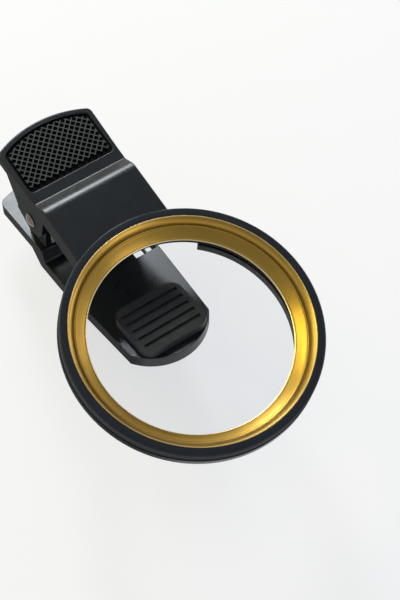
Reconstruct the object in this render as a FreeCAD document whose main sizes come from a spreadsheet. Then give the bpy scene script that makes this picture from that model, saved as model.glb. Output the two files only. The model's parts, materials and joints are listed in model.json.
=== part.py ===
import FreeCAD, Part
import math
import os
import Sketcher
from FreeCAD import Placement, Rotation, Vector

# A clip-on polarizing filter. The ring's axis is Z, the clip runs along X, and the
# origin lies on that axis in the plane of the rubber seat. Lengths are millimetres.

os.makedirs("parts", exist_ok=True)
doc = FreeCAD.newDocument("clip_on_filter")

# Driving sizes: radii grow outwards from the glass, heights run down from the bezel,
# and the clip is laid out from its pin.
DRIVING = {
    # glass and the ring that keeps it
    "glass_radius": 24.9,
    "glass_thickness": 1.5,
    "glass_clearance": 0.1,
    "keeper_width": 0.65,
    "keeper_height": 0.75,
    "keeper_notch": 1.6,
    # gold ring
    "gold_lip_overlap": 1.3,        # lip over the glass's edge
    "gold_lip": 0.25,               # its thickness
    "gold_band_width": 2.7,         # lower curved band, outwards from the lip
    "gold_step": 0.25,              # flat between the two bands
    "gold_step_rise": 0.1,
    "gold_upper_curve": 2.8,        # section radius of the upper band
    "gold_edge": 0.15,
    "gold_skirt_wall": 1.2,
    "gold_shoulder": 1.05,
    "gold_flange": 0.85,
    "gold_flange_depth": 1.1,
    "gold_step_depth": 2.1,
    "gold_bore_depth": 3.9,
    "gold_shoulder_depth": 4.4,
    "gold_skirt_overlap": 0.05,     # how far the skirt passes the ring that keeps the glass
    # turning bezel
    "bezel_top": 11.0,              # top face above the rubber seat
    "bezel_face_depth": 1.5,
    "bezel_overhang": 0.1,
    "bezel_chamfer": 0.3,
    "bezel_skirt_wall": 0.75,
    "bezel_skirt_depth": 4.7,
    "curve_clearance": 0.05,
    # fixed filter frame, and the wire that lets the front turn
    "turning_clearance": 0.15,
    "frame_wall": 0.85,
    "frame_flange_width": 0.9,
    "frame_flange_height": 1.5,
    "frame_thread_length": 1.7,
    "wire_width": 0.4,
    "wire_height": 0.5,
    "wire_depth": 3.6,
    "wire_gap_angle": 12.0,
    "groove_depth": 0.3,
    "groove_height": 0.7,
    # clip ring, moulded with the upper lever
    "thread_clearance": 0.1,
    "holder_wall": 1.0,
    "holder_floor": 0.75,
    "holder_bevel": 0.8,
    "holder_gap": 0.3,              # between its lip and the turning gold skirt
    # seat below the clip ring
    "seat_step": 1.0,
    "seat_wall": 1.7,
    "seat_half_angle": 140.0,
    "rubber_floor": 1.0,
    "rubber_wall": 0.5,
    "rubber_height": 2.2,
    # pin and its place
    "pin_distance": 46.3,
    "pin_height": -1.8,
    "pin_radius": 1.4,
    "pin_head_radius": 1.75,
    "pin_head_height": 1.0,
    "pin_head_rim": 0.2,
    "pin_end_gap": 0.05,
    "cap_wall": 0.6,
    "cap_height": 0.7,
    "bore_clearance": 0.08,
    # upper lever
    "lever_half_width": 12.6,
    "lever_tail_flare": 0.25,
    "lever_tail": 18.0,             # from the pin to the end of the tail
    "lever_tail_rise": 3.1,         # how far the end's arc stands out
    "lever_tail_fillet": 1.6,
    "lever_wall": 1.5,
    "lever_skin": 2.0,
    "plate_rise": 1.05,             # plate above the seat of the filter's flange
    "ramp_drop": 2.3,
    "ramp_run": 3.1,
    "ramp_foot": 0.8,               # foot of the ramp in front of the pin
    "ramp_top_round": 3.8,
    "ramp_foot_round": 0.6,
    "lever_flange_height": 5.2,
    "grip_thickness": 2.9,
    "lever_edge_round": 0.4,
    "ear_radius": 4.5,
    "ear_rear_foot": 10.9,
    "ear_stop": 5.6,
    "ear_stop_top": 1.1,
    "ear_stop_bottom": 2.4,
    # mesh grip
    "recess_front": 2.35,            # behind the pin
    "recess_side_rim": 1.0,
    "recess_rear_rim": 1.25,
    "recess_depth": 1.0,
    "recess_corner": 1.3,
    "recess_bevel": 0.2,
    "mesh_fit": 0.1,
    "mesh_pitch": 1.235,
    "mesh_ridge": 0.27,
    "mesh_height": 0.65,
    "mesh_border": 0.6,             # from the recess's wall to the net
    "mesh_front_border": 1.1,
    # spring
    "spring_wire_radius": 0.55,
    "spring_clearance": 0.45,
    "spring_turns": 3.0,
    "spring_pitch": 1.5,
    "spring_leg": 9.5,
    # lower lever, as it lies before it is tilted about the pin
    "rest_tilt": 15.0,              # its angle to the upper lever with the jaws closed
    "ear_clearance": 0.3,
    "lower_ear_wall": 1.5,
    "lower_ear_radius": 3.9,
    "lower_ear_rear": 5.1,
    "lower_ear_front": 2.4,
    "lower_ear_foot": 2.4,
    "tail_drop": 8.8,               # tail's face below the pin
    "jaw_drop": 3.7,                # jaw's face below the tail's
    "crank_ahead": 2.9,             # crank's upper edge in front of the pin
    "crank_run": 1.3,
    "crank_round": 1.0,
    "crank_root": 1.7,              # underside bends down this far behind the pin
    "crank_root_run": 3.5,
    "lower_thickness": 3.2,
    "lower_tail": 18.3,
    "lower_tail_rise": 2.4,
    "lower_tail_fillet": 2.2,
    "waist_run": 16.4,              # full width up to this far in front of the pin
    "jaw_half_width": 11.2,
    "jaw_end": 2.0,
    "jaw_tip_rise": 6.0,
    "window_ahead": 13.3,           # windows' rear edge in front of the pin
    "window_length": 2.3,
    "window_inner": 6.1,
    "window_width": 2.7,
    "window_bar": 0.5,
    "lower_skin": 1.1,              # plate left above the recesses
    "lower_rim": 1.3,
    # lower jaw pad
    "jaw_pad_length": 14.8,
    "jaw_pad_set_back": 2.2,
    "jaw_pad_side": 2.2,
    "jaw_pad_height": 2.2,
    "jaw_pad_corner": 3.0,
    "jaw_pad_rib_pitch": 2.4,
    "jaw_pad_rib": 0.9,
    "jaw_pad_rib_depth": 0.6,
    "jaw_pad_border": 1.2,
}

# Edges and places are told apart by this much
NEAR = 0.01
# Corner of an ear's outline on its circle, as shares of the radius
EAR_CORNER = (0.6, 0.8)
# A pit smaller than this share of a whole one is left out of the net
LEAST_PIT = 0.1



class Size:
    """A length with its value and the formula that ties it to the sheet."""

    def __init__(self, value, formula):
        self.value = value
        self.formula = formula

    def joined(self, other, sign, value):
        return Size(value, f"({self.formula} {sign} {other.formula})")

    def __add__(self, other):
        other = as_size(other)
        return self.joined(other, "+", self.value + other.value)

    def __sub__(self, other):
        other = as_size(other)
        return self.joined(other, "-", self.value - other.value)

    def __mul__(self, other):
        other = as_size(other)
        return self.joined(other, "*", self.value * other.value)

    def __truediv__(self, other):
        other = as_size(other)
        return self.joined(other, "/", self.value / other.value)

    def __neg__(self):
        return as_size(0) - self

    def __radd__(self, other):
        return as_size(other) + self

    def __rsub__(self, other):
        return as_size(other) - self

    def __rmul__(self, other):
        return as_size(other) * self


def as_size(number):
    if isinstance(number, Size):
        return number
    return Size(float(number), repr(float(number)))


class Sizes:
    """The driving sizes by name."""


def make_sheet():
    sheet = doc.addObject("Spreadsheet::Sheet", "Sizes")
    sizes = Sizes()
    for row, (name, value) in enumerate(DRIVING.items(), start=1):
        sheet.set(f"A{row}", name)
        sheet.set(f"B{row}", str(value))
        sheet.setAlias(f"B{row}", name)
        setattr(sizes, name, Size(value, f"Sizes.{name}"))
    doc.recompute()
    return sizes


s = make_sheet()


# Sketches and features

def origin_plane(body, role):
    return next(o for o in body.Origin.OriginFeatures if o.Role == role)


def new_body(label):
    body = doc.addObject("PartDesign::Body", label)
    body.Label = label
    return body


def new_sketch(body, name, plane, height=None):
    sketch = body.newObject("Sketcher::SketchObject", name)
    sketch.AttachmentSupport = [(origin_plane(body, plane), "")]
    sketch.MapMode = "FlatFace"
    if height is not None:
        sketch.AttachmentOffset = Placement(Vector(0, 0, height.value), Rotation())
        sketch.setExpression(".AttachmentOffset.Base.z", height.formula)
    return sketch


def tie(sketch, constraint, size):
    """Add a constraint whose value follows the sheet."""
    index = sketch.addConstraint(constraint)
    sketch.setExpression(f"Constraints[{index}]", size.formula)


def arc_between(start, end, radius):
    """Arc from start to end that bulges to the right of the way it runs."""
    chord = end.sub(start)
    half = chord.Length / 2
    across = Vector(-chord.y, chord.x, 0).normalize()
    centre = (start + end) * 0.5 + across * math.sqrt(max(radius ** 2 - half ** 2, 0.0))
    first = math.atan2(start.y - centre.y, start.x - centre.x)
    last = math.atan2(end.y - centre.y, end.x - centre.x)
    return Part.ArcOfCircle(Part.Circle(centre, Vector(0, 0, 1), radius), first, last)


def outline(sketch, corners):
    """Closed outline, anticlockwise. A corner is (x, y), or (x, y, radius) where the edge
    that leaves it is an arc: it bulges outwards, or inwards if the radius is negative."""
    corners = [tuple(as_size(n) for n in corner) for corner in corners]
    points = [Vector(c[0].value, c[1].value, 0) for c in corners]
    heads = []
    tails = []
    for i, corner in enumerate(corners):
        start, end = points[i], points[(i + 1) % len(points)]
        inwards = len(corner) == 3 and corner[2].value < 0
        if len(corner) == 2:
            shape = Part.LineSegment(start, end)
        elif inwards:
            shape = arc_between(end, start, -corner[2].value)
        else:
            shape = arc_between(start, end, corner[2].value)
        edge = sketch.addGeometry(shape, False)
        heads.append((edge, 2 if inwards else 1))
        tails.append((edge, 1 if inwards else 2))
    for i, corner in enumerate(corners):
        edge, end = heads[i]
        sketch.addConstraint(Sketcher.Constraint("Coincident", *tails[i - 1], edge, end))
        tie(sketch, Sketcher.Constraint("DistanceX", -1, 1, edge, end, corner[0].value), corner[0])
        tie(sketch, Sketcher.Constraint("DistanceY", -1, 1, edge, end, corner[1].value), corner[1])
        if len(corner) == 3:
            radius = corner[2] if corner[2].value > 0 else -corner[2]
            tie(sketch, Sketcher.Constraint("Radius", edge, radius.value), radius)


def rectangle(sketch, low, high):
    outline(sketch, [(low[0], low[1]), (high[0], low[1]), (high[0], high[1]), (low[0], high[1])])


def circle(sketch, x, y, radius):
    x, y, radius = as_size(x), as_size(y), as_size(radius)
    edge = sketch.addGeometry(Part.Circle(Vector(x.value, y.value, 0), Vector(0, 0, 1),
                                          radius.value), False)
    tie(sketch, Sketcher.Constraint("DistanceX", -1, 1, edge, 3, x.value), x)
    tie(sketch, Sketcher.Constraint("DistanceY", -1, 1, edge, 3, y.value), y)
    tie(sketch, Sketcher.Constraint("Radius", edge, radius.value), radius)


def finish_feature(body, feature):
    doc.recompute()
    body.Tip = feature
    return feature


def pad(body, name, sketch, length, both=False, down=False):
    feature = body.newObject("PartDesign::Pad", name)
    feature.Profile = sketch
    feature.setExpression("Length", as_size(length).formula)
    feature.SideType = "Symmetric" if both else "One side"
    feature.Reversed = down
    return finish_feature(body, feature)


def pocket(body, name, sketch, length, both=False, up=False):
    feature = body.newObject("PartDesign::Pocket", name)
    feature.Profile = sketch
    feature.setExpression("Length", as_size(length).formula)
    feature.SideType = "Symmetric" if both else "One side"
    feature.Reversed = up
    return finish_feature(body, feature)


def turned(body, name, corners, angle=360, cut=False):
    """Revolve a half section of (radius, height) corners round Z, centred on +X."""
    sketch = new_sketch(body, name + "_section", "XZ_Plane")
    outline(sketch, corners)
    kind = "PartDesign::Groove" if cut else "PartDesign::Revolution"
    feature = body.newObject(kind, name)
    feature.Profile = sketch
    feature.ReferenceAxis = (sketch, ["V_Axis"])
    feature.Midplane = True
    feature.setExpression("Angle", as_size(angle).formula)
    return finish_feature(body, feature)


def rounded(body, name, base, radius, chosen):
    """Fillet the edges of base for which chosen(edge) is true."""
    names = [f"Edge{i}" for i, e in enumerate(base.Shape.Edges, start=1) if chosen(e)]
    feature = body.newObject("PartDesign::Fillet", name)
    feature.Base = (base, names)
    feature.setExpression("Radius", as_size(radius).formula)
    return finish_feature(body, feature)


def bevelled(body, name, base, size, chosen):
    """Chamfer the edges of base for which chosen(edge) is true."""
    names = [f"Edge{i}" for i, e in enumerate(base.Shape.Edges, start=1) if chosen(e)]
    feature = body.newObject("PartDesign::Chamfer", name)
    feature.Base = (base, names)
    feature.setExpression("Size", as_size(size).formula)
    return finish_feature(body, feature)


def place(body, x, z, turn):
    body.Placement = Placement(Vector(x.value, 0, z.value), turn)
    body.setExpression(".Placement.Base.x", x.formula)
    body.setExpression(".Placement.Base.z", z.formula)


def tilt(body):
    """Turn a finished piece of the lower lever about the pin, to its angle at rest."""
    pin = Vector(s.pin_x.value, 0, s.pin_height.value)
    turn = Rotation(Vector(0, 1, 0), -s.rest_tilt.value)
    body.Placement = Placement(Vector(0, 0, 0), turn, pin)


def derive_ring():
    """Radii from the glass outwards, heights from the bezel's top down."""
    s.glass_pocket_radius = s.glass_radius + s.glass_clearance
    s.gold_bore_radius = s.glass_radius - s.gold_lip_overlap
    s.gold_step_radius = s.gold_bore_radius + s.gold_band_width
    s.gold_skirt_radius = s.glass_pocket_radius + s.gold_skirt_wall
    s.skirt_inner_radius = s.gold_skirt_radius + s.gold_shoulder
    s.bezel_inner_radius = s.skirt_inner_radius + s.gold_flange
    s.bezel_skirt_outer = s.skirt_inner_radius + s.bezel_skirt_wall
    s.frame_bore_radius = s.bezel_skirt_outer + s.turning_clearance
    s.frame_thread_radius = s.frame_bore_radius + s.frame_wall
    s.frame_flange_radius = s.frame_thread_radius + s.frame_flange_width
    s.ring_radius = s.frame_flange_radius + s.bezel_overhang
    s.holder_bore_radius = s.frame_thread_radius + s.thread_clearance
    s.holder_radius = s.holder_bore_radius + s.holder_wall
    s.holder_lip_radius = s.gold_skirt_radius + s.holder_gap
    s.seat_inner_radius = s.holder_lip_radius - s.seat_step
    s.seat_outer_radius = s.seat_inner_radius + s.seat_wall

    s.glass_top = s.bezel_top - s.gold_bore_depth - s.gold_lip
    s.glass_bottom = s.glass_top - s.glass_thickness
    s.keeper_bottom = s.glass_bottom - s.keeper_height
    s.gold_bottom = s.keeper_bottom - s.gold_skirt_overlap
    s.ledge_height = s.bezel_top - s.gold_flange_depth
    s.gold_shoulder_height = s.bezel_top - s.gold_shoulder_depth
    s.bezel_underside = s.bezel_top - s.bezel_face_depth
    s.bezel_skirt_bottom = s.bezel_top - s.bezel_skirt_depth
    s.frame_flange_top = s.bezel_underside - s.turning_clearance
    s.frame_flange_bottom = s.frame_flange_top - s.frame_flange_height
    s.frame_bottom = s.frame_flange_bottom - s.frame_thread_length
    s.groove_middle = s.bezel_top - s.wire_depth
    s.holder_bottom = s.frame_bottom - s.holder_floor


def derive_clip():
    """The clip's lengths from its pin, and its heights from the ring."""
    s.pin_x = -s.pin_distance
    s.plate_top = s.frame_flange_bottom + s.plate_rise
    s.grip_top = s.plate_top - s.ramp_drop
    s.lever_flange_bottom = s.plate_top - s.lever_flange_height
    s.lever_grip_bottom = s.grip_top - s.grip_thickness
    s.tail_end = s.pin_x - s.lever_tail
    s.tail_corner = s.tail_end + s.lever_tail_rise
    s.tail_half_width = s.lever_half_width + s.lever_tail_flare
    s.bend_low = s.pin_x + s.ramp_foot
    s.bend_high = s.bend_low + s.ramp_run
    s.recess_edge = s.pin_x - s.recess_front
    s.ear_reach = s.lever_half_width - s.lever_wall - s.ear_clearance
    s.tail_top = s.pin_height - s.tail_drop
    s.jaw_top = s.tail_top - s.jaw_drop
    s.lower_bend_high = s.pin_x + s.crank_ahead
    s.lower_bend_low = s.lower_bend_high + s.crank_run
    s.crank_rear = s.pin_x - s.crank_root
    s.crank_front = s.crank_rear + s.crank_root_run
    s.window_rear = s.pin_x + s.window_ahead
    s.window_front = s.window_rear + s.window_length
    s.lower_recess = s.lower_thickness - s.lower_skin
    s.lower_tail_end = s.pin_x - s.lower_tail
    s.lower_tail_corner = s.lower_tail_end + s.lower_tail_rise
    s.jaw_shoulder = -s.jaw_end - s.jaw_tip_rise
    s.spring_coil_radius = s.pin_radius + s.spring_clearance + s.spring_wire_radius


derive_ring()
derive_clip()


# Turning front ring

def lock_groove(body, name, inner, outer):
    """Square groove for the snap ring, turned between two radii."""
    low = s.groove_middle - s.groove_height / 2
    high = s.groove_middle + s.groove_height / 2
    turned(body, name, [(inner, low), (outer, low), (outer, high), (inner, high)], cut=True)


def make_front_bezel():
    """Black face ring with a skirt that turns inside the fixed frame."""
    body = new_body("front_bezel")
    top, edge = s.bezel_top, s.bezel_chamfer
    turned(body, "bezel_ring", [
        (s.skirt_inner_radius, s.bezel_skirt_bottom),
        (s.bezel_skirt_outer, s.bezel_skirt_bottom),
        (s.bezel_skirt_outer, s.bezel_underside),
        (s.ring_radius, s.bezel_underside),
        (s.ring_radius, top - edge),
        (s.ring_radius - edge, top),
        (s.bezel_inner_radius, top),
        (s.bezel_inner_radius, s.ledge_height),
        (s.skirt_inner_radius, s.ledge_height),
    ])
    lock_groove(body, "wire_groove", s.bezel_skirt_outer - s.groove_depth,
                s.bezel_skirt_outer + s.groove_depth)
    return body


def make_gold_inner_ring():
    """A curved band and a cone fall from the bezel to a lip that holds the glass."""
    body = new_body("gold_inner_ring")
    gap, edge = s.curve_clearance, s.gold_edge
    outer = s.bezel_inner_radius - gap
    lip = s.bezel_top - s.gold_bore_depth
    step = s.bezel_top - s.gold_step_depth
    turned(body, "gold_ring", [
        (s.gold_bore_radius, s.glass_top),
        (s.glass_pocket_radius, s.glass_top),
        (s.glass_pocket_radius, s.gold_bottom),
        (s.gold_skirt_radius, s.gold_bottom),
        (s.gold_skirt_radius, s.gold_shoulder_height),
        (s.skirt_inner_radius - gap, s.gold_shoulder_height),
        (s.skirt_inner_radius - gap, s.ledge_height),
        (outer, s.ledge_height),
        (outer, s.bezel_top - edge),
        (outer - edge, s.bezel_top, s.gold_upper_curve),
        (s.gold_step_radius, step),
        (s.gold_step_radius - s.gold_step, step - s.gold_step_rise),
        (s.gold_bore_radius, lip),
    ])
    return body


def make_polarizer_glass():
    body = new_body("polarizer_glass")
    turned(body, "glass_disc", [
        (0, s.glass_bottom),
        (s.glass_radius, s.glass_bottom),
        (s.glass_radius, s.glass_top),
        (0, s.glass_top),
    ])
    return body


def make_glass_retaining_ring():
    """Thin ring under the glass, with two notches for a spanner."""
    body = new_body("glass_retaining_ring")
    outer = s.glass_pocket_radius - s.curve_clearance
    inner = outer - s.keeper_width
    turned(body, "keeper_ring", [
        (inner, s.keeper_bottom),
        (outer, s.keeper_bottom),
        (outer, s.glass_bottom),
        (inner, s.glass_bottom),
    ])
    notch = new_sketch(body, "notch_outline", "XY_Plane", s.keeper_bottom)
    half = s.keeper_notch / 2
    rectangle(notch, (-s.ring_radius, -half), (s.ring_radius, half))
    pocket(body, "notches", notch, s.keeper_height / 2, up=True)
    return body


def make_snap_wire():
    """Open ring of flat wire that lies in the bezel's groove and reaches into the frame's."""
    body = new_body("snap_wire")
    inner = s.bezel_skirt_outer - s.groove_depth
    outer = inner + s.wire_width
    low = s.groove_middle - s.wire_height / 2
    high = s.groove_middle + s.wire_height / 2
    turned(body, "wire_ring", [(inner, low), (outer, low), (outer, high), (inner, high)],
           angle=360 - s.wire_gap_angle)
    return body


# Fixed filter frame

def make_filter_frame():
    """Flange and threaded skirt that screw into the clip ring."""
    body = new_body("filter_frame")
    turned(body, "frame_ring", [
        (s.frame_bore_radius, s.frame_bottom),
        (s.frame_thread_radius, s.frame_bottom),
        (s.frame_thread_radius, s.frame_flange_bottom),
        (s.frame_flange_radius, s.frame_flange_bottom),
        (s.frame_flange_radius, s.frame_flange_top),
        (s.frame_bore_radius, s.frame_flange_top),
    ])
    lock_groove(body, "wire_groove_in_frame", s.frame_bore_radius - s.groove_depth,
                s.frame_bore_radius + s.groove_depth)
    return body


# Upper lever

def arc_radius(rise, half_chord):
    """Radius of the arc that stands out by rise over a chord."""
    return (rise * rise + half_chord * half_chord) / (2 * rise)


def upright(edge):
    box = edge.BoundBox
    return box.XLength < NEAR and box.YLength < NEAR


def cross_edge(edge, x, z):
    """True for an edge that runs along Y at that place."""
    box = edge.BoundBox
    there = abs(box.XMin - x.value) < NEAR and abs(box.ZMin - z.value) < NEAR
    return there and box.XLength < NEAR and box.ZLength < NEAR


def tail_waste(body, name, height, depth, end, corner, half):
    """Cut away what lies beyond a tail that ends in an arc."""
    sketch = new_sketch(body, f"{name}_outline", "XY_Plane", height)
    far, wide = end - half, half * 2
    outline(sketch, [
        (corner, -half, -arc_radius(corner - end, half)),
        (corner, half),
        (corner, wide),
        (far, wide),
        (far, -wide),
        (corner, -wide),
    ])
    return pocket(body, name, sketch, depth)


def make_upper_lever():
    """Moulded channel with a grip, two ears, the clip ring and the wall of its seat."""
    body = new_body("upper_lever")
    half, tail_half = s.lever_half_width, s.tail_half_width
    front = -s.seat_inner_radius + s.seat_step
    pin_z = s.pin_height
    skin_under = s.plate_top - s.lever_skin
    grip_under = s.grip_top - s.lever_skin
    side = new_sketch(body, "side_outline", "XZ_Plane")
    outline(side, [
        (s.tail_end, s.grip_top),
        (s.tail_end, s.lever_grip_bottom),
        (s.pin_x - s.ear_rear_foot, s.lever_grip_bottom),
        (s.pin_x - s.ear_stop, pin_z - s.ear_stop_top),
        (s.pin_x - s.ear_stop, pin_z - s.ear_stop_bottom),
        (s.pin_x - s.ear_radius * EAR_CORNER[0], pin_z - s.ear_radius * EAR_CORNER[1],
         s.ear_radius),
        (s.pin_x + s.ear_radius, pin_z),
        (s.pin_x + s.ear_radius, s.lever_flange_bottom),
        (front, s.lever_flange_bottom),
        (front, s.plate_top),
        (s.bend_high, s.plate_top),
        (s.bend_low, s.grip_top),
    ])
    block = pad(body, "lever_block", side, tail_half * 2, both=True)
    bent = rounded(body, "ramp_top", block, s.ramp_top_round,
                   lambda e: cross_edge(e, s.bend_high, s.plate_top))
    rounded(body, "ramp_foot", bent, s.ramp_foot_round,
            lambda e: cross_edge(e, s.bend_low, s.grip_top))

    channel = new_sketch(body, "channel_outline", "XZ_Plane")
    deep = pin_z - s.ear_radius * 2
    inner_tail = s.tail_corner + s.lever_wall
    beyond = front + s.lever_wall
    outline(channel, [
        (inner_tail, deep),
        (beyond, deep),
        (beyond, skin_under),
        (s.bend_high, skin_under),
        (s.bend_low, grip_under),
        (inner_tail, grip_under),
    ])
    pocket(body, "channel", channel, (half - s.lever_wall) * 2, both=True)

    # In plan the sides flare from the recess to the tail's corners
    above = s.plate_top + 1
    through = above - pin_z + s.ear_radius * 2
    wide = tail_half * 2
    for mirror, name in ((1, "left"), (-1, "right")):
        plan = new_sketch(body, f"flare_{name}_outline", "XY_Plane", above)
        run = [(beyond, half * mirror),
               (s.recess_edge, half * mirror),
               (s.tail_corner, tail_half * mirror),
               (s.tail_end - half, tail_half * mirror),
               (s.tail_end - half, wide * mirror),
               (beyond, wide * mirror)]
        outline(plan, run[::-1] if mirror > 0 else run)
        pocket(body, f"flare_{name}", plan, through)
    trimmed = tail_waste(body, "tail_trim", above, through, s.tail_end, s.tail_corner, tail_half)
    rounded(body, "tail_corners", trimmed, s.lever_tail_fillet,
            lambda e: upright(e) and e.BoundBox.Center.x < s.tail_corner.value + NEAR
            and e.BoundBox.ZMax > s.grip_top.value - NEAR)

    turned(body, "clip_ring", [
        (s.holder_lip_radius, s.holder_bottom),
        (s.holder_radius - s.holder_bevel, s.holder_bottom),
        (s.holder_radius, s.holder_bottom + s.holder_bevel),
        (s.holder_radius, s.frame_flange_bottom),
        (s.holder_lip_radius, s.frame_flange_bottom),
    ])
    clear_below = s.lever_flange_bottom - 1
    turned(body, "clip_bore", [
        (0, clear_below),
        (s.holder_lip_radius, clear_below),
        (s.holder_lip_radius, s.frame_bottom),
        (s.holder_bore_radius, s.frame_bottom),
        (s.holder_bore_radius, s.frame_flange_bottom),
        (s.holder_radius + s.thread_clearance, s.frame_flange_bottom),
        (s.holder_radius + s.thread_clearance, above),
        (0, above),
    ], cut=True)
    root = s.holder_bottom + s.holder_floor / 2
    turned(body, "seat_wall", [
        (s.seat_inner_radius, s.rubber_floor),
        (s.seat_outer_radius, s.rubber_floor),
        (s.seat_outer_radius, root),
        (s.holder_lip_radius, root),
        (s.holder_lip_radius, s.gold_bottom - s.holder_gap),
        (s.seat_inner_radius, s.gold_bottom - s.holder_gap - s.seat_step),
    ], angle=s.seat_half_angle * 2)

    bore = new_sketch(body, "pin_bore_outline", "XZ_Plane")
    circle(bore, s.pin_x, pin_z, s.pin_radius + s.bore_clearance / 2)
    pocket(body, "pin_bore", bore, wide, both=True)

    recess = new_sketch(body, "recess_outline", "XY_Plane", s.grip_top)
    inner_half = half - s.recess_side_rim
    corner = s.tail_corner + s.recess_side_rim
    rise = corner - s.tail_end - s.recess_rear_rim
    outline(recess, [
        (s.recess_edge, -inner_half),
        (s.recess_edge, inner_half),
        (corner, inner_half, arc_radius(rise, inner_half)),
        (corner, -inner_half),
    ])
    cut = pocket(body, "grip_recess", recess, s.recess_depth)
    floor = s.grip_top.value - s.recess_depth.value
    rounded(body, "recess_corners", cut, s.recess_corner,
            lambda e: upright(e) and abs(e.BoundBox.ZMin - floor) < NEAR)

    def recess_mouth(e):
        box = e.BoundBox
        level = box.ZLength < NEAR and abs(box.ZMin - s.grip_top.value) < NEAR
        inside = max(abs(box.YMin), abs(box.YMax)) < inner_half.value + NEAR
        return level and inside and box.XMax < s.recess_edge.value + NEAR
    bevelled(body, "recess_rim", body.Tip, s.recess_bevel, recess_mouth)
    base = body.Tip

    def long_top_edge(e):
        box = e.BoundBox
        outside = min(abs(box.YMin), abs(box.YMax)) > half.value - NEAR
        level = box.ZLength < NEAR and box.ZMin > s.grip_top.value - NEAR
        return outside and level and box.YLength < 1 and box.XLength > 1
    rounded(body, "edge_rounding", base, s.lever_edge_round, long_top_edge)
    return body


# Mesh grip

def grip_outline(inset, front_inset, low, high):
    """Prism of the recess's plan shape, smaller by the insets."""
    half = s.lever_half_width.value - s.recess_side_rim.value - inset
    front = s.recess_edge.value - front_inset
    corner = s.tail_corner.value + s.recess_side_rim.value + inset * math.cos(math.radians(45))
    apex = s.tail_end.value + s.recess_rear_rim.value + inset
    points = [Vector(front, -half, low), Vector(front, half, low),
              Vector(corner, half, low), Vector(corner, -half, low)]
    arc = Part.Arc(points[2], Vector(apex, 0, low), points[3]).toShape()
    lines = [Part.makeLine(points[3], points[0]), Part.makeLine(points[0], points[1]),
             Part.makeLine(points[1], points[2])]
    prism = Part.Face(Part.Wire(lines + [arc])).extrude(Vector(0, 0, high - low))
    corners = [e for e in prism.Edges if upright(e)]
    return prism.makeFillet(max(s.recess_corner.value - inset, s.mesh_ridge.value), corners)


def make_grip_insert():
    """A thin sheet that carries a net of ridges at 45 degrees, with square pits between."""
    bottom = s.grip_top.value - s.recess_depth.value
    fit, border = s.mesh_fit.value, s.mesh_border.value
    top = s.grip_top.value - fit
    pitch, depth = s.mesh_pitch.value, s.mesh_height.value
    pit = pitch - s.mesh_ridge.value
    floor = top - depth
    sheet = grip_outline(fit, fit, bottom, floor)
    field = grip_outline(fit + border, fit + s.mesh_front_border.value, floor, top)
    box = field.BoundBox
    middle = Vector(box.Center.x, 0, 0)
    reach = int(math.hypot(box.XLength, box.YLength) / 2 / pitch) + 1
    turn = Rotation(Vector(0, 0, 1), 45)
    pits = []
    for column in range(-reach, reach + 1):
        for row in range(-reach, reach + 1):
            spot = middle + turn.multVec(Vector(column * pitch, row * pitch, 0))
            hole = Part.makeBox(pit, pit, depth, Vector(-pit / 2, -pit / 2, floor))
            hole.Placement = Placement(Vector(spot.x, spot.y, 0), turn)
            if hole.common(field).Volume > LEAST_PIT * hole.Volume:
                pits.append(hole)
    net = sheet.fuse(field.cut(Part.makeCompound(pits)).Solids).removeSplitter()
    grip = doc.addObject("Part::Feature", "grip_insert")
    grip.Label = "grip_insert"
    grip.Shape = net.Solids[0] if len(net.Solids) == 1 else net
    return grip


# Hinge

def make_hinge_pin():
    """Turned pin with a domed head, its axis along Y."""
    body = new_body("hinge_pin")
    seat = s.lever_half_width + s.pin_end_gap
    head_end = seat + s.pin_head_height
    far = seat + s.cap_height + s.pin_end_gap
    head, rim = s.pin_head_radius, s.pin_head_rim
    dome = arc_radius(s.pin_head_height - rim, head)
    turned(body, "pin_turned", [
        (0, -head_end, dome),
        (head, -seat - rim),
        (head, -seat),
        (s.pin_radius, -seat),
        (s.pin_radius, far - rim),
        (s.pin_radius - rim, far),
        (0, far),
    ])
    place(body, s.pin_x, s.pin_height, Rotation(Vector(1, 0, 0), -90))
    return body


def make_pin_retainer():
    """Push-on cap over the far end of the pin."""
    body = new_body("pin_retainer")
    seat = s.lever_half_width + s.pin_end_gap
    bore = s.pin_radius + s.bore_clearance / 2
    outer = bore + s.cap_wall
    half_height = s.cap_height / 2
    turned(body, "cap_turned", [
        (bore, seat),
        (outer, seat),
        (outer, seat + half_height),
        (outer - s.cap_wall / 2, seat + s.cap_height),
        (bore, seat + s.cap_height),
    ])
    place(body, s.pin_x, s.pin_height, Rotation(Vector(1, 0, 0), -90))
    return body


def leg_slope(rise, radius, length):
    """Slope at which a straight leg, tangent to the coil, ends at the given rise."""
    return math.asin(rise / math.hypot(radius, length)) - math.atan2(radius, length)


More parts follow.
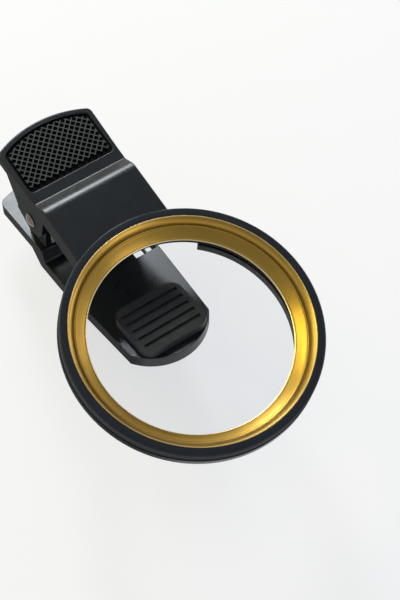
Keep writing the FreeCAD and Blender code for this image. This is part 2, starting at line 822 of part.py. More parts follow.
def make_torsion_spring():
    """Coil round the pin, with one straight leg under each grip."""
    wire, radius = s.spring_wire_radius.value, s.spring_coil_radius.value
    leg, pitch = s.spring_leg.value, s.spring_pitch.value
    axis = Vector(s.pin_x.value, 0, s.pin_height.value)
    slack = wire + 2 * s.curve_clearance.value
    up_rise = s.grip_top.value - s.lever_skin.value - axis.z - slack
    up = leg_slope(up_rise, radius, leg)
    down = leg_slope(s.tail_drop.value - slack, radius, leg) + math.radians(s.rest_tilt.value)
    turn = s.spring_turns.value * 2 * math.pi + math.pi - up - down
    width = pitch * turn / (2 * math.pi)

    # Wire of six flats, wound from the upper leg's root to the lower one's
    sides = 6
    corners = []
    for side in range(sides + 1):
        angle = 2 * math.pi * (side + 0.5) / sides
        corners.append(Vector(radius + wire * math.cos(angle), 0, wire * math.sin(angle)))
    section = Part.makePolygon(corners)
    coil = Part.Wire(Part.makeHelix(pitch, width, radius)).makePipeShell([section], True, True)
    start = Vector(math.sin(up), 0, math.cos(up))
    along = Vector(math.cos(up), 0, -math.sin(up))
    coil = coil.transformed(FreeCAD.Matrix(
        start.x, along.x, 0, axis.x,
        start.y, along.y, 1, -width / 2,
        start.z, along.z, 0, axis.z))
    legs = []
    for slope, side, y in ((up, 1, -width / 2), (down, -1, width / 2)):
        root = axis + Vector(math.sin(slope) * radius, y, side * math.cos(slope) * radius)
        way = Vector(-math.cos(slope), 0, side * math.sin(slope))
        legs.append(Part.makeCylinder(wire, leg + wire / 2, root - way * (wire / 2), way))
    spring = doc.addObject("Part::Feature", "torsion_spring")
    spring.Label = "torsion_spring"
    whole = coil.fuse(legs)
    spring.Shape = whole.Solids[0] if len(whole.Solids) == 1 else whole
    return spring


# Rubber seat

def make_seat_pad():
    """Rubber channel pushed over the lower edge of the seat wall."""
    body = new_body("seat_pad")
    wall_in, wall_out = s.seat_inner_radius - s.curve_clearance, s.seat_outer_radius + s.curve_clearance
    inner, outer = wall_in - s.rubber_wall, wall_out + s.rubber_wall
    turned(body, "rubber_ring", [
        (inner, 0),
        (outer, 0),
        (outer, s.rubber_height),
        (wall_out, s.rubber_height),
        (wall_out, s.rubber_floor),
        (wall_in, s.rubber_floor),
        (wall_in, s.rubber_height),
        (inner, s.rubber_height),
    ], angle=s.seat_half_angle * 2)
    return body


# Lower lever

def make_lower_lever():
    """Cranked plate with two ears, recesses below and two pairs of windows."""
    body = new_body("lower_lever")
    thick = s.lower_thickness
    tail, end = s.lower_tail_end, -s.jaw_end
    full, corner = s.lever_half_width, s.lower_tail_corner
    side = new_sketch(body, "crank_outline", "XZ_Plane")
    outline(side, [
        (tail, s.tail_top - thick),
        (s.crank_rear, s.tail_top - thick),
        (s.crank_front, s.jaw_top - thick),
        (end, s.jaw_top - thick),
        (end, s.jaw_top),
        (s.lower_bend_low, s.jaw_top),
        (s.lower_bend_high, s.tail_top),
        (tail, s.tail_top),
    ])
    plate = pad(body, "crank", side, full * 2, both=True)
    rounded(body, "crank_bend", plate, s.crank_round,
            lambda e: cross_edge(e, s.lower_bend_high, s.tail_top)
            or cross_edge(e, s.lower_bend_low, s.jaw_top)
            or cross_edge(e, s.crank_rear, s.tail_top - thick)
            or cross_edge(e, s.crank_front, s.jaw_top - thick))

    ears = new_sketch(body, "ear_outline", "XZ_Plane")
    rim, foot = s.lower_ear_radius, s.tail_top + s.lower_ear_foot
    rear, front = s.pin_x - s.lower_ear_rear, s.pin_x + s.lower_ear_front
    outline(ears, [
        (rear, s.tail_top - thick / 2),
        (front, s.tail_top - thick / 2),
        (front, foot),
        (s.pin_x + rim, s.pin_height, rim),
        (s.pin_x - rim, s.pin_height),
        (rear, foot - s.lower_ear_foot / 2),
    ])
    pad(body, "ear_block", ears, s.ear_reach * 2, both=True)
    gap = new_sketch(body, "ear_gap_outline", "XZ_Plane")
    rectangle(gap, (rear - rim, s.tail_top), (front + rim, s.pin_height + rim * 2))
    pocket(body, "ear_gap", gap, (s.ear_reach - s.lower_ear_wall) * 2, both=True)
    bore = new_sketch(body, "lower_bore_outline", "XZ_Plane")
    circle(bore, s.pin_x, s.pin_height, s.pin_radius + s.bore_clearance)
    pocket(body, "lower_bore", bore, full * 2, both=True)

    # In plan the sides run straight past the windows, then taper to the jaw
    above = s.tail_top + s.lower_ear_foot
    through = above - s.jaw_top + thick * 2
    beyond = end + thick
    wide = full + thick
    waist = s.pin_x + s.waist_run
    for mirror, name in ((1, "left"), (-1, "right")):
        plan = new_sketch(body, f"taper_{name}_outline", "XY_Plane", above)
        run = [(beyond, s.jaw_half_width * mirror),
               (s.jaw_shoulder, s.jaw_half_width * mirror),
               (waist, full * mirror),
               (waist, wide * mirror),
               (beyond, wide * mirror)]
        outline(plan, run[::-1] if mirror > 0 else run)
        pocket(body, f"taper_{name}", plan, through)
    trimmed = tail_waste(body, "lower_tail_trim", above, through, tail, corner, full)
    rounded(body, "lower_tail_corners", trimmed, s.lower_tail_fillet,
            lambda e: upright(e) and e.BoundBox.Center.x < corner.value + NEAR)

    half = s.jaw_half_width
    tip = new_sketch(body, "tip_outline", "XY_Plane", above)
    outline(tip, [
        (s.jaw_shoulder, half, -arc_radius(s.jaw_tip_rise, half)),
        (s.jaw_shoulder, -half),
        (s.jaw_shoulder, -half * 2),
        (beyond, -half * 2),
        (beyond, half * 2),
        (s.jaw_shoulder, half * 2),
    ])
    pocket(body, "jaw_tip", tip, through)

    windows = new_sketch(body, "window_outline", "XY_Plane", above)
    for mirror in (1, -1):
        for step in (0, 1):
            low = s.window_inner + (s.window_width + s.window_bar) * step
            high = low + s.window_width
            near, far = (low, high) if mirror > 0 else (-high, -low)
            rectangle(windows, (s.window_rear, near), (s.window_front, far))
    pocket(body, "windows", windows, through)

    # Recesses below leave a rim and ribs
    edge = s.lower_rim
    below = new_sketch(body, "tail_recess_outline", "XY_Plane", s.tail_top - thick)
    inner = full - edge
    rectangle(below, (corner + edge, -inner), (s.crank_rear - edge, inner))
    pocket(body, "tail_recess", below, s.lower_recess, up=True)
    jaw_below = new_sketch(body, "jaw_recess_outline", "XY_Plane", s.jaw_top - thick)
    reach = s.window_inner + s.window_width * 2 + s.window_bar
    rectangle(jaw_below, (s.crank_front + edge, -reach), (s.window_front, reach))
    first = s.window_front + edge
    cells = 3
    length = (s.jaw_shoulder - first - edge * (cells - 1)) / cells
    for cell in range(cells):
        start = first + (length + edge) * cell
        rectangle(jaw_below, (start, -half + edge), (start + length, half - edge))
    pocket(body, "jaw_recess", jaw_below, s.lower_recess, up=True)
    tilt(body)
    return body


def make_lower_jaw_pad():
    """Ribbed rubber pad on the jaw's upper face."""
    body = new_body("lower_jaw_pad")
    sketch = new_sketch(body, "pad_outline", "XY_Plane", s.jaw_top)
    half = s.jaw_half_width - s.jaw_pad_side
    front = -s.jaw_end - s.jaw_pad_set_back
    rear = front - s.jaw_pad_length
    rectangle(sketch, (rear, -half), (front, half))
    block = pad(body, "pad_block", sketch, s.jaw_pad_height)
    rounded(body, "pad_corners", block, s.jaw_pad_corner, upright)
    grooves = new_sketch(body, "rib_outline", "XY_Plane", s.jaw_top + s.jaw_pad_height)
    count = 5
    width = s.jaw_pad_rib / 2
    reach = half - s.jaw_pad_border
    for step in range(count):
        middle = (rear + front) / 2 + s.jaw_pad_rib_pitch * (step - (count - 1) / 2)
        rectangle(grooves, (middle - width, -reach), (middle + width, reach))
    pocket(body, "ribs", grooves, s.jaw_pad_rib_depth)
    tilt(body)
    return body


PIECES = [make_upper_lever(), make_grip_insert(), make_hinge_pin(), make_pin_retainer(),
          make_torsion_spring(), make_seat_pad(), make_filter_frame(), make_front_bezel(),
          make_gold_inner_ring(), make_polarizer_glass(), make_glass_retaining_ring(),
          make_snap_wire(), make_lower_lever(), make_lower_jaw_pad()]

doc.recompute()
for item in doc.Objects:
    if "Invalid" in item.State or "Error" in item.State:
        raise RuntimeError(f"{item.Label}: {item.State}")
for piece in PIECES:
    shape = piece.Shape
    if shape.isNull() or not shape.isValid():
        raise RuntimeError(f"{piece.Label}: shape is null or not valid")
for piece in PIECES:
    piece.Shape.exportStep(f"parts/{piece.Label}.step")
    box = piece.Shape.BoundBox
    print(f"{piece.Label:22s} solids {len(piece.Shape.Solids)} volume {piece.Shape.Volume:9.1f} "
          f"x {box.XMin:7.2f} {box.XMax:7.2f} y {box.YMin:7.2f} {box.YMax:7.2f} "
          f"z {box.ZMin:7.2f} {box.ZMax:7.2f}")
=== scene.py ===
import json
import math

import bmesh
import bpy
from mathutils import Matrix, Vector


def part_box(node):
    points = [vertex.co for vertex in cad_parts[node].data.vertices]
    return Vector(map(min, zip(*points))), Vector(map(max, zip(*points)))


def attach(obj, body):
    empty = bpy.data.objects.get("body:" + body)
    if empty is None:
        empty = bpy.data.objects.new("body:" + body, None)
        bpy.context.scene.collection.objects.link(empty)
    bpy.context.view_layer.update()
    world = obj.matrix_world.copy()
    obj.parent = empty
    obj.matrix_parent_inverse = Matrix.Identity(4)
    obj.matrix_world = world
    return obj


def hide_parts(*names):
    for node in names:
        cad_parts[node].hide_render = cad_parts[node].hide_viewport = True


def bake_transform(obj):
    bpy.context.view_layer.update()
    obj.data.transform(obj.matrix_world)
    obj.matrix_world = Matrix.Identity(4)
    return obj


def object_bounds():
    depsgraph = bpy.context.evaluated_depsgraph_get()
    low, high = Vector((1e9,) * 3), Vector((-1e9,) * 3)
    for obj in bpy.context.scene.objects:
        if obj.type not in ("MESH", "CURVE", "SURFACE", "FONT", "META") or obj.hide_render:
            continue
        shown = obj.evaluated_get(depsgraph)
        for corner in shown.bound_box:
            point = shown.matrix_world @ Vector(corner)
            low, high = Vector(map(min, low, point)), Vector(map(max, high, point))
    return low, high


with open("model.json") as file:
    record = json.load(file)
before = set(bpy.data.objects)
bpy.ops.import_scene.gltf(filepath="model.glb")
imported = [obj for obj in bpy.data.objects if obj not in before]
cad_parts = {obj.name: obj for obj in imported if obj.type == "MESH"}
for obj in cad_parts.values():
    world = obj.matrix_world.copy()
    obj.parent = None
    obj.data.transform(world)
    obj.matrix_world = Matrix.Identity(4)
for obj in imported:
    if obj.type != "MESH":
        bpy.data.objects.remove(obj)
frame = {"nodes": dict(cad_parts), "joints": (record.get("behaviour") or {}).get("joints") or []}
cad_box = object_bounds()
nodes = frame["nodes"]
MM = 0.001

# Radial sizes of the turned rings, in mm
FIT = 0.05
BEZEL_SKIRT_WALL = 0.75
BEZEL_CHAMFER = 0.3
GOLD_FLANGE = 0.85
GOLD_SKIRT_WALL = 1.2
GOLD_BAND_WIDTH = 2.7
LIP_OVERLAP = 1.3
GLASS_CLEARANCE = 0.1
TURNING_CLEARANCE = 0.15
FRAME_FLANGE_WIDTH = 0.9

# Heights, in mm; depths run down from the front face
BEZEL_FACE_DEPTH = 1.5
GOLD_FLANGE_DEPTH = 1.1
GOLD_STEP_DEPTH = 2.1
GOLD_SHOULDER_DEPTH = 4.4
GOLD_LIP = 0.25
FRAME_FLANGE_HEIGHT = 1.5

# Section radii of the two gold bands, in mm
UPPER_BAND_CURVE = 3.2
LOWER_BAND_CURVE = 26.0

THREAD_PITCH = 0.4
THREAD_DEPTH = 0.2
FLOOR_GAP = 0.2

# How finely the rings are turned, and where their shading breaks
SEGMENTS = 288
CREASE = math.radians(38)
NEARLY_STRAIGHT = math.radians(176)
SIDE_SHARE = 0.48
# Roughness of the painted highlight lines on the gold edges
EDGE_HIGHLIGHT_ROUGHNESS = 0.42


# Materials

class Finish:
    """A node material that is built up step by step."""

    def __init__(self, name, colour, roughness, metallic=0.0):
        self.material = bpy.data.materials.new(name)
        self.material.use_nodes = True
        self.tree = self.material.node_tree
        self.shader = self.tree.nodes["Principled BSDF"]
        self.set("Base Color", (*colour, 1.0))
        self.set("Roughness", roughness)
        self.set("Metallic", metallic)
        self.material.diffuse_color = (*colour, 1.0)
        self.place = self.add("ShaderNodeTexCoord").outputs["Object"]
        self.heights = None

    def set(self, socket, value):
        self.shader.inputs[socket].default_value = value

    def add(self, kind, **values):
        node = self.tree.nodes.new(kind)
        for key, value in values.items():
            setattr(node, key, value)
        return node

    def link(self, source, target):
        self.tree.links.new(source, target)

    def noise(self, scale, detail=3.0, rough=0.5, stretch=None, place=None):
        """Noise value. stretch squeezes the pattern along X, Y and Z."""
        where = place or self.place
        if stretch:
            mapping = self.add("ShaderNodeMapping")
            mapping.inputs["Scale"].default_value = stretch
            self.link(where, mapping.inputs["Vector"])
            where = mapping.outputs["Vector"]
        node = self.add("ShaderNodeTexNoise")
        node.inputs["Scale"].default_value = scale
        node.inputs["Detail"].default_value = detail
        node.inputs["Roughness"].default_value = rough
        self.link(where, node.inputs["Vector"])
        return node.outputs["Fac"]

    def spread(self, value, low, high, start=0.3, end=0.7):
        node = self.add("ShaderNodeMapRange")
        node.inputs["From Min"].default_value = start
        node.inputs["From Max"].default_value = end
        node.inputs["To Min"].default_value = low
        node.inputs["To Max"].default_value = high
        self.link(value, node.inputs["Value"])
        return node.outputs["Result"]

    def calculate(self, operation, one, other=None):
        node = self.add("ShaderNodeMath", operation=operation)
        for socket, value in zip(node.inputs, (one, other)):
            if value is None:
                continue
            if isinstance(value, (int, float)):
                socket.default_value = value
            else:
                self.link(value, socket)
        return node.outputs["Value"]

    def colours(self, value, *stops):
        ramp = self.add("ShaderNodeValToRGB")
        elements = ramp.color_ramp.elements
        while len(elements) < len(stops):
            elements.new(0.5)
        for element, (place, colour) in zip(elements, stops):
            element.position = place
            element.color = (*colour, 1.0)
        self.link(value, ramp.inputs["Fac"])
        self.link(ramp.outputs["Color"], self.shader.inputs["Base Color"])
        return ramp

    def rough(self, value, low, high):
        self.link(self.spread(value, low, high), self.shader.inputs["Roughness"])

    def bump(self, value, depth, strength=1.0):
        """Bumps of that depth in metres, laid over those that are there."""
        node = self.add("ShaderNodeBump")
        node.inputs["Distance"].default_value = depth
        node.inputs["Strength"].default_value = strength
        self.link(value, node.inputs["Height"])
        if self.heights:
            self.link(self.heights, node.inputs["Normal"])
        self.heights = node.outputs["Normal"]
        self.link(self.heights, self.shader.inputs["Normal"])

    def polar(self):
        """Distance from the ring axis, and a place that changes slowly round it."""
        split = self.add("ShaderNodeSeparateXYZ")
        self.link(self.place, split.inputs["Vector"])
        x, y, z = (split.outputs[axis] for axis in "XYZ")
        flat = self.add("ShaderNodeCombineXYZ")
        self.link(x, flat.inputs["X"])
        self.link(y, flat.inputs["Y"])
        length = self.add("ShaderNodeVectorMath", operation="LENGTH")
        self.link(flat.outputs["Vector"], length.inputs[0])
        radius = length.outputs["Value"]
        way = self.add("ShaderNodeVectorMath", operation="NORMALIZE")
        self.link(flat.outputs["Vector"], way.inputs[0])
        turned = self.add("ShaderNodeVectorMath", operation="SCALE")
        turned.inputs["Scale"].default_value = 0.004
        self.link(way.outputs["Vector"], turned.inputs[0])
        lift = self.add("ShaderNodeCombineXYZ")
        self.link(self.calculate("ADD", radius, z), lift.inputs["Z"])
        around = self.add("ShaderNodeVectorMath", operation="ADD")
        self.link(turned.outputs["Vector"], around.inputs[0])
        self.link(lift.outputs["Vector"], around.inputs[1])
        return radius, around.outputs["Vector"]

    def soft_edges(self, radius):
        """Shade the edges as if they had that radius."""
        bevel = self.add("ShaderNodeBevel", samples=6)
        bevel.inputs["Radius"].default_value = radius
        self.heights = bevel.outputs["Normal"]

    def matt_sides(self, axis, roughness, start, end):
        """Duller where the normal's share along the axis goes from start to end."""
        split = self.add("ShaderNodeSeparateXYZ")
        facing = self.add("ShaderNodeTexCoord").outputs["Normal"]
        self.link(facing, split.inputs["Vector"])
        share = self.calculate("ABSOLUTE", split.outputs[axis])
        dull = self.spread(share, 0.0, roughness, start, end)
        smooth = self.shader.inputs["Roughness"].links[0].from_socket
        self.link(self.calculate("MAXIMUM", smooth, dull), self.shader.inputs["Roughness"])

    def painted_edge_highlight(self, colour, low, high):
        """Painted highlight: paler, duller metal between two distances from the ring axis."""
        radius = self.polar()[0]
        beyond = self.calculate("GREATER_THAN", radius, low)
        short = self.calculate("LESS_THAN", radius, high)
        inside = self.calculate("MULTIPLY", beyond, short)
        for socket, kind, value in (("Base Color", "RGBA", (*colour, 1.0)),
                                    ("Roughness", "FLOAT", EDGE_HIGHLIGHT_ROUGHNESS)):
            blend = self.add("ShaderNodeMix", data_type=kind)
            # The mix has its own pair of inputs and its own output for each kind
            first, second, out = (6, 7, 2) if kind == "RGBA" else (2, 3, 0)
            self.link(inside, blend.inputs[0])
            self.link(self.shader.inputs[socket].links[0].from_socket, blend.inputs[first])
            blend.inputs[second].default_value = value
            self.link(blend.outputs[out], self.shader.inputs[socket])


def moulded_plastic():
    look = Finish("satin_black_plastic", (0.0055, 0.007, 0.009), 0.27)
    look.set("Specular IOR Level", 0.45)
    look.soft_edges(0.00022)
    cloud = look.noise(130.0, 3.0)
    look.colours(cloud, (0.3, (0.0048, 0.0062, 0.008)), (0.7, (0.0064, 0.0082, 0.0105)))
    look.rough(look.noise(300.0, 3.0), 0.27, 0.31)
    look.matt_sides("Y", 0.9, 0.5, 0.85)
    look.bump(look.noise(2600.0, 1.0, 0.4), 0.000003, 0.1)
    look.bump(look.noise(90.0, 1.0), 0.00001, 0.15)
    return look.material


def rubber(name, grey, roughness):
    look = Finish(name, (grey, grey, grey * 1.05), roughness)
    look.set("Specular IOR Level", 0.42)
    look.set("Sheen Weight", 0.12)
    look.set("Sheen Roughness", 0.5)
    cloud = look.noise(260.0, 4.0)
    look.colours(cloud, (0.3, (grey * 0.75,) * 3), (0.7, (grey * 1.25,) * 3))
    look.rough(look.noise(800.0, 3.0), roughness - 0.08, roughness + 0.08)
    look.bump(look.noise(3600.0, 3.0, 0.6), 0.00002, 0.6)
    return look.material


def net_rubber():
    """Painted shade: black and less reflective in the pits, greyer on top of the ridges, with
    random tone.
    """
    look = Finish("grip_rubber", (0.02, 0.02, 0.021), 0.5)
    split = look.add("ShaderNodeSeparateXYZ")
    look.link(look.place, split.inputs["Vector"])
    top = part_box("grip_insert")[1][2]
    height = look.spread(split.outputs["Z"], 0.0, 1.0, top - 0.0001, top - 0.00001)
    look.link(look.spread(height, 0.08, 0.4, 0.0, 1.0), look.shader.inputs["Specular IOR Level"])
    # Painted shade: the colour darkens from the ridge tops down into the pits, with random tone
    # on top
    pit_shade_and_tone = look.calculate("MULTIPLY", height, look.spread(look.noise(340.0, 4.0), 0.75, 1.0))
    look.colours(pit_shade_and_tone, (0.0, (0.002, 0.002, 0.0023)), (1.0, (0.05, 0.051, 0.054)))
    look.rough(look.noise(800.0, 3.0), 0.4, 0.55)
    look.bump(look.noise(3600.0, 3.0, 0.6), 0.00002, 0.5)
    return look.material


def turned_metal(name, colour, roughness, metallic, lines, tint=1.12, spread=0.06):
    """Metal with fine lathe lines round the ring axis."""
    look = Finish(name, colour, roughness, metallic)
    around = look.polar()[1]
    fine = look.noise(9000.0, 2.0, 0.7, (0.25, 0.25, 1.0), around)
    broad = look.noise(1500.0, 3.0, 0.5, (0.3, 0.3, 1.0), around)
    cloud = look.noise(120.0, 3.0)
    look.colours(cloud, (0.3, tuple(min(1.0, c / tint) for c in colour)),
                 (0.7, tuple(min(1.0, c * tint) for c in colour)))
    look.rough(broad, roughness - spread, roughness + spread)
    look.bump(fine, lines, 0.7)
    return look


def steel(name, colour, roughness):
    look = Finish(name, colour, roughness, 1.0)
    look.rough(look.noise(700.0, 4.0), roughness - 0.08, roughness + 0.1)
    cloud = look.noise(500.0, 5.0)
    look.colours(cloud, (0.3, tuple(c * 0.8 for c in colour)), (0.72, colour))
    look.bump(look.noise(5200.0, 2.0, 0.6, (1.0, 1.0, 0.2)), 0.000004, 0.6)
    return look.material


def clear_glass():
    """Coated flat glass: nearly all light passes, and a little mirrors."""
    look = Finish("coated_glass", (0.93, 0.94, 0.96), 0.02)
    tree = look.tree
    gloss = look.add("ShaderNodeBsdfGlossy")
    gloss.inputs["Color"].default_value = (0.93, 0.94, 1.0, 1.0)
    smear = look.noise(160.0, 5.0, 0.6)
    look.link(look.spread(smear, 0.0, 0.06, 0.45, 0.8), gloss.inputs["Roughness"])
    through = look.add("ShaderNodeBsdfTransparent")
    tint = look.add("ShaderNodeValToRGB")
    tint.color_ramp.elements[0].color = (0.93, 0.935, 0.945, 1.0)
    tint.color_ramp.elements[1].color = (0.955, 0.96, 0.965, 1.0)
    look.link(look.noise(70.0, 2.0), tint.inputs["Fac"])
    look.link(tint.outputs["Color"], through.inputs["Color"])
    fresnel = look.add("ShaderNodeFresnel")
    fresnel.inputs["IOR"].default_value = 1.12
    blend = look.add("ShaderNodeMixShader")
    look.link(fresnel.outputs["Fac"], blend.inputs["Fac"])
    look.link(through.outputs["BSDF"], blend.inputs[1])
    look.link(gloss.outputs["BSDF"], blend.inputs[2])
    output = tree.nodes["Material Output"]
    look.link(blend.outputs["Shader"], output.inputs["Surface"])
    tree.nodes.remove(look.shader)
    return look.material


PLASTIC = moulded_plastic()
GRIP_RUBBER = net_rubber()
PAD_RUBBER = rubber("pad_rubber", 0.014, 0.62)
black_anodised = turned_metal("black_anodised", (0.011, 0.0135, 0.019),
                              roughness=0.34, metallic=0.0, lines=0.000003)
black_anodised.set("Specular IOR Level", 0.3)
black_anodised.matt_sides("Z", 0.75, 0.6, 0.1)
BLACK_METAL = black_anodised.material
gold_anodised = turned_metal("gold_anodised", (0.47, 0.28, 0.052), roughness=0.33,
                             metallic=1.0, lines=0.0000005, tint=1.05, spread=0.04)

# Painted highlight: paler metal on the lip over the glass and on the outer rim
gold_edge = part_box("gold_inner_ring")[1][0]
bore_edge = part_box("polarizer_glass")[1][0] - LIP_OVERLAP * MM
gold_anodised.painted_edge_highlight((0.93, 0.76, 0.42), bore_edge - 0.1 * MM, bore_edge + 0.21 * MM)
gold_anodised.painted_edge_highlight((0.74, 0.52, 0.2), gold_edge - 0.26 * MM, gold_edge + 0.1 * MM)
GOLD = gold_anodised.material
PIN_STEEL = steel("pin_steel", (0.18, 0.15, 0.125), 0.17)
SPRING_STEEL = steel("spring_steel", (0.5, 0.5, 0.52), 0.3)
GLASS = clear_glass()


# Meshes

def soften(corners, radius, steps=4, closed=True):
    """Round each corner (r, z) or (r, z, own radius) of an outline. Open ends stay sharp."""
    line = []
    count = len(corners)
    for i, corner in enumerate(corners):
        here = Vector(corner[:2])
        size = corner[2] if len(corner) == 3 else radius
        before = Vector(corners[i - 1][:2]) - here
        after = Vector(corners[(i + 1) % count][:2]) - here
        end = not closed and i in (0, count - 1)
        if end or size <= 0 or before.length < 1e-9 or after.length < 1e-9:
            line.append(here)
            continue
        one, two = before.normalized(), after.normalized()
        angle = one.angle(two)
        if angle > NEARLY_STRAIGHT:
            line.append(here)
            continue
        reach = min(size / math.tan(angle / 2),
                    before.length * SIDE_SHARE, after.length * SIDE_SHARE)
        size = reach * math.tan(angle / 2)
        centre = here + (one + two).normalized() * (size / math.sin(angle / 2))
        start, end = here + one * reach - centre, here + two * reach - centre
        sweep = start.angle_signed(end)
        for step in range(steps + 1):
            turn = Matrix.Rotation(-sweep * step / steps, 2)
            line.append(centre + turn @ start)
    return line


def bulge(start, end, radius, steps=10):
    """Points strictly between two, on an arc that stands out to the right of the way."""
    start, end = Vector(start), Vector(end)
    way = end - start
    half = way.length / 2
    across = Vector((-way.y, way.x)).normalized()
    centre = (start + end) / 2 + across * math.sqrt(max(radius * radius - half * half, 0.0))
    first, last = start - centre, end - centre
    sweep = first.angle_signed(last)
    return [centre + Matrix.Rotation(-sweep * n / steps, 2) @ first for n in range(1, steps)]


def add_piece(name, mesh_data, material, body, slot, *nodes_for):
    mesh = bpy.data.meshes.new(name)
    mesh_data.to_mesh(mesh)
    mesh_data.free()
    piece = bpy.data.objects.new(name, mesh)
    bpy.context.collection.objects.link(piece)
    mesh.materials.append(material)
    mesh.shade_smooth()
    mesh.set_sharp_from_angle(angle=CREASE)
    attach(piece, body)
    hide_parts(*nodes_for)


def lathe(line, closed=True):
    """Mesh of a closed outline of (radius, height) in mm, turned about the ring axis."""
    work = bmesh.new()
    rings = []
    for step in range(SEGMENTS):
        angle = 2 * math.pi * step / SEGMENTS
        c, s = math.cos(angle), math.sin(angle)
        rings.append([work.verts.new((p[0] * c * MM, p[0] * s * MM, p[1] * MM)) for p in line])
    count = len(line)
    for step in range(SEGMENTS):
        one, two = rings[step], rings[(step + 1) % SEGMENTS]
        for i in range(count if closed else count - 1):
            j = (i + 1) % count
            work.faces.new((one[i], two[i], two[j], one[j]))
    bmesh.ops.recalc_face_normals(work, faces=work.faces)
    return work


def extents(node):
    low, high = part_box(node)
    return [v / MM for v in low], [v / MM for v in high]


# Front ring

bezel_low, bezel_high = extents("front_bezel")
gold_low, gold_high = extents("gold_inner_ring")
glass_low, glass_high = extents("polarizer_glass")
frame_low, frame_high = extents("filter_frame")

ring, top = bezel_high[0], bezel_high[2]
gold_outer = gold_high[0]
bezel_inner = gold_outer + FIT
skirt_inner = bezel_inner - GOLD_FLANGE
skirt_outer = skirt_inner + BEZEL_SKIRT_WALL
ledge = top - GOLD_FLANGE_DEPTH
underside = top - BEZEL_FACE_DEPTH
bezel_line = soften([
    (skirt_inner, bezel_low[2]), (skirt_outer, bezel_low[2]),
    (skirt_outer, underside, 0.05), (ring, underside, 0.12),
    (ring, top - BEZEL_CHAMFER, 0.15), (ring - BEZEL_CHAMFER, top, 0.15),
    (bezel_inner, top, 0.09), (bezel_inner, ledge, 0.05), (skirt_inner, ledge, 0.05),
], 0.08)
add_piece("front_bezel_turned", lathe(bezel_line), BLACK_METAL, "front_ring",
          "black_aluminium", "front_bezel")

glass_radius, glass_top = glass_high[0], glass_high[2]
pocket = glass_radius + GLASS_CLEARANCE
bore = glass_radius - LIP_OVERLAP
skirt = pocket + GOLD_SKIRT_WALL
lip = glass_top + GOLD_LIP
step_radius, step = bore + GOLD_BAND_WIDTH, top - GOLD_STEP_DEPTH
shoulder = top - GOLD_SHOULDER_DEPTH

# Ends of the two bands, a little short of the corners that they meet
band_top = (gold_outer - 0.25, top - 0.08)
band_foot = (step_radius + 0.12, step + 0.08)
cone_top = (step_radius - 0.32, step - 0.16)
cone_foot = (bore + 0.3, lip + 0.16)
gold_line = soften([cone_foot, (bore + 0.26, lip + 0.02, 0.05), (bore + 0.2, lip, 0.03),
                    (bore, lip - 0.14, 0.04), (bore, glass_top, 0.02), (pocket, glass_top, 0.02),
                    (pocket, gold_low[2], 0.04), (skirt, gold_low[2], 0.1),
                    (skirt, shoulder, 0.1), (skirt_inner - FIT, shoulder, 0.1),
                    (skirt_inner - FIT, ledge, 0.03), (gold_outer, ledge, 0.03),
                    (gold_outer, top, 0.08), (gold_outer - 0.16, top, 0.06), band_top],
                   0.05, closed=False)
gold_line += bulge(band_top, band_foot, UPPER_BAND_CURVE, 14)
gold_line += soften([band_foot, (step_radius, step - 0.02, 0.06),
                     (step_radius - 0.25, step - 0.1, 0.06), cone_top], 0.05, closed=False)
gold_line += bulge(cone_top, cone_foot, LOWER_BAND_CURVE)
add_piece("gold_ring_turned", lathe(gold_line), GOLD, "front_ring",
          "gold_aluminium", "gold_inner_ring")

glass_line = soften([(0.0, glass_low[2], 0), (glass_radius, glass_low[2], 0.15),
                     (glass_radius, glass_top, 0.15), (0.0, glass_top, 0)], 0.1)
add_piece("glass_disc_ground", lathe(glass_line, closed=False), GLASS, "front_ring",
          "filter_glass", "polarizer_glass")

flange = frame_high[0]
thread = flange - FRAME_FLANGE_WIDTH
frame_bore = skirt_outer + TURNING_CLEARANCE
flange_low = frame_high[2] - FRAME_FLANGE_HEIGHT
frame_line = soften([(frame_bore, frame_low[2]), (thread, frame_low[2], 0.1),
                     (thread, frame_low[2] + 0.3)], 0.04, closed=False)
thread_height = frame_low[2] + 0.35
while thread_height < flange_low - 0.45:
    root = Vector((thread - THREAD_DEPTH, thread_height + THREAD_PITCH / 2))
    crest = Vector((thread, thread_height + THREAD_PITCH))
    frame_line += [root, crest]
    thread_height += THREAD_PITCH
frame_line += soften([(thread, thread_height), (thread, flange_low, 0.03),
                      (flange, flange_low, 0.1), (flange, frame_high[2], 0.14),
                      (frame_bore, frame_high[2], 0.06), (frame_bore, frame_low[2] + 0.1)],
                     0.05, closed=False)
add_piece("filter_frame_turned", lathe(frame_line), BLACK_METAL, "clip_upper",
          "black_aluminium", "filter_frame")


# Spring

# In the real clip the coil winds up about the pin; here it is a fixed copy of the part's spring,
# in spring steel
hinge = next(joint for joint in frame["joints"] if joint["name"] == "clip_hinge")
pivot = Vector(hinge["pos_m"])
spring = bpy.data.objects.new("spring_wire_coil", nodes["torsion_spring"].data.copy())
spring.data.materials.clear()
spring.data.materials.append(SPRING_STEEL)
bpy.context.collection.objects.link(spring)
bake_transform(spring)
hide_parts("torsion_spring")


# Finishes of the pieces whose own solids are shown

FINISHES = {
    "upper_lever": PLASTIC, "lower_lever": PLASTIC, "grip_insert": GRIP_RUBBER,
    "hinge_pin": PIN_STEEL, "pin_retainer": PIN_STEEL,
    "seat_pad": PAD_RUBBER, "lower_jaw_pad": PAD_RUBBER,
    "glass_retaining_ring": BLACK_METAL, "snap_wire": SPRING_STEEL,
}
for name, material in FINISHES.items():
    mesh = nodes[name].data
    mesh.materials.clear()
    mesh.materials.append(material)


# Stage

# The floor lies below the jaw at its widest opening
swing = Matrix.Rotation(math.radians(hinge["range_deg"][1]), 3, "Y")
corners = [vertex.co for vertex in nodes["lower_lever"].data.vertices]
reach = min((pivot + swing @ (corner - pivot)).z for corner in corners)
floor_height = min(reach, cad_box[0][2]) - FLOOR_GAP * MM

world = bpy.data.worlds.new("studio")
bpy.context.scene.world = world
world.use_nodes = True
tree = world.node_tree
tree.nodes.clear()


def world_node(kind):
    return tree.nodes.new(kind)


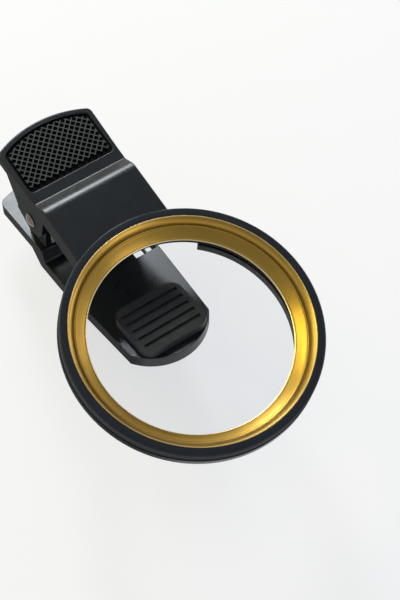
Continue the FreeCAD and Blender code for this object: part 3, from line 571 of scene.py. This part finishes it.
# Pale all round at eye level, darker overhead
soft = world_node("ShaderNodeBackground")
sky = world_node("ShaderNodeTexCoord")
apart = world_node("ShaderNodeSeparateXYZ")
fade = world_node("ShaderNodeValToRGB")
fade.color_ramp.interpolation = "EASE"
fade.color_ramp.elements[0].position = 0.05
fade.color_ramp.elements[0].color = (0.88, 0.9, 0.93, 1.0)
fade.color_ramp.elements[1].position = 0.6
fade.color_ramp.elements[1].color = (0.3, 0.325, 0.37, 1.0)
result = world_node("ShaderNodeOutputWorld")
tree.links.new(sky.outputs["Generated"], apart.inputs["Vector"])
tree.links.new(apart.outputs["Z"], fade.inputs["Fac"])
tree.links.new(fade.outputs["Color"], soft.inputs["Color"])
tree.links.new(soft.outputs["Background"], result.inputs["Surface"])

floor_look = Finish("pale_floor", (0.93, 0.93, 0.93), 0.8)
floor_look.set("Specular IOR Level", 0.2)
grain = floor_look.noise(60.0, 3.0)
floor_look.colours(grain, (0.3, (0.925, 0.925, 0.925)), (0.7, (0.94, 0.94, 0.94)))

# The camera, metal and glass see the floor nearly white, and its shadow stays
rays = floor_look.add("ShaderNodeLightPath")
seen = rays.outputs["Is Camera Ray"]
for kind in ("Is Glossy Ray", "Is Transmission Ray"):
    seen = floor_look.calculate("MAXIMUM", seen, rays.outputs[kind])
glow = floor_look.add("ShaderNodeEmission")
glow.inputs["Strength"].default_value = 1.0
mix = floor_look.add("ShaderNodeMixShader")
floor_look.link(floor_look.calculate("MULTIPLY", seen, 0.7), mix.inputs["Fac"])
floor_look.link(floor_look.shader.outputs["BSDF"], mix.inputs[1])
floor_look.link(glow.outputs["Emission"], mix.inputs[2])
floor_surface = floor_look.tree.nodes["Material Output"].inputs["Surface"]
floor_look.link(mix.outputs["Shader"], floor_surface)

plane = bmesh.new()
bmesh.ops.create_grid(plane, x_segments=8, y_segments=8, size=3.0)
floor_mesh = bpy.data.meshes.new("floor")
plane.to_mesh(floor_mesh)
plane.free()
floor = bpy.data.objects.new("floor", floor_mesh)
floor.location = (0.0, 0.0, floor_height)
floor_mesh.materials.append(floor_look.material)
bpy.context.collection.objects.link(floor)


def lamp(name, way, distance, size, radiance, colour=(1.0, 1.0, 1.0)):
    """Soft rectangular lamp in that direction from the part, aimed at it."""
    data = bpy.data.lights.new(name, "AREA")
    data.shape = "RECTANGLE"
    data.size, data.size_y = size
    data.energy = radiance * math.pi * size[0] * size[1]
    data.color = colour
    light = bpy.data.objects.new(name, data)
    aim = Vector((-0.02, 0.0, 0.0))
    light.location = aim + Vector(way).normalized() * distance
    light.rotation_euler = (aim - light.location).to_track_quat("-Z", "Y").to_euler()
    bpy.context.collection.objects.link(light)


lamp("key_light", (-0.79, 0.26, 0.5), 0.53, (0.1, 0.24), 20.0, (0.9, 0.96, 1.0))
lamp("far_light", (0.22, 0.96, 0.12), 0.8, (0.5, 0.12), 2.6, (1.0, 0.97, 0.92))
lamp("left_light", (0.85, 0.32, 0.42), 1.1, (0.5, 0.32), 2.4)
lamp("side_light", (-0.72, -0.37, 0.57), 0.6, (0.34, 0.14), 6.5, (1.0, 0.93, 0.25))
lamp("low_light", (-0.82, -0.49, 0.27), 0.6, (0.2, 0.08), 5.0, (1.0, 0.96, 0.8))


# Camera at the photograph's viewpoint

camera_data = bpy.data.cameras.new("camera")
camera_data.lens = 89.104
camera_data.sensor_width = 36.0
camera_data.sensor_fit = "AUTO"
camera_data.clip_start = 0.01
camera = bpy.data.objects.new("camera", camera_data)
right = Vector((0.56708, 0.81057, 0.14629))
up = Vector((-0.78009, 0.47155, 0.41122))
back = Vector((0.26434, -0.34731, 0.89972))
turn = Matrix((right, up, back)).transposed().to_4x4()
viewpoint = Vector((83.04, -110.44, 309.96)) * MM
camera.matrix_world = Matrix.Translation(viewpoint) @ turn
bpy.context.collection.objects.link(camera)
bpy.context.scene.camera = camera
bpy.context.scene.view_settings.view_transform = "Standard"
